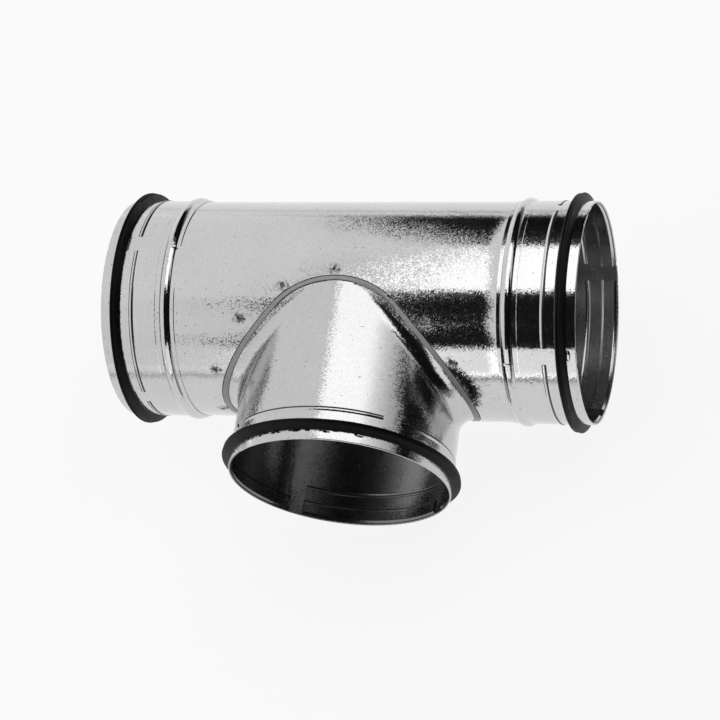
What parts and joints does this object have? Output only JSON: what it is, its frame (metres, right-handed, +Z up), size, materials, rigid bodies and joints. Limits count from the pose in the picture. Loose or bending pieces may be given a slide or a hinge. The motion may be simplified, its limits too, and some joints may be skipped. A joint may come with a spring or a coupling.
{
  "type": "duct tee",
  "caption": "Round galvanised sheet-steel duct tee of equal diameters: a run with beaded, gasketed spigots and a pressed saddle branch at right angles that joins or splits air flow.",
  "frame": {"origin": "where the axis of the run crosses the axis of the branch", "axes": "+X along the run, -Y out of the branch, +Z up: the tee lies on its gaskets with both axes level"},
  "size_m": [0.27, 0.1731, 0.1332],
  "materials": {
    "galvanised_steel": "fine-grained galvanised sheet, bright",
    "sealant": "matte",
    "rubber": "matte black"
  },
  "bodies": {
    "root": {"run_tube": "galvanised_steel", "left_collar": "galvanised_steel", "right_collar": "galvanised_steel", "branch_saddle": "galvanised_steel", "saddle_sealant": "sealant", "left_gasket": "rubber", "right_gasket": "rubber", "branch_gasket": "rubber"}
  },
  "joints": []
}
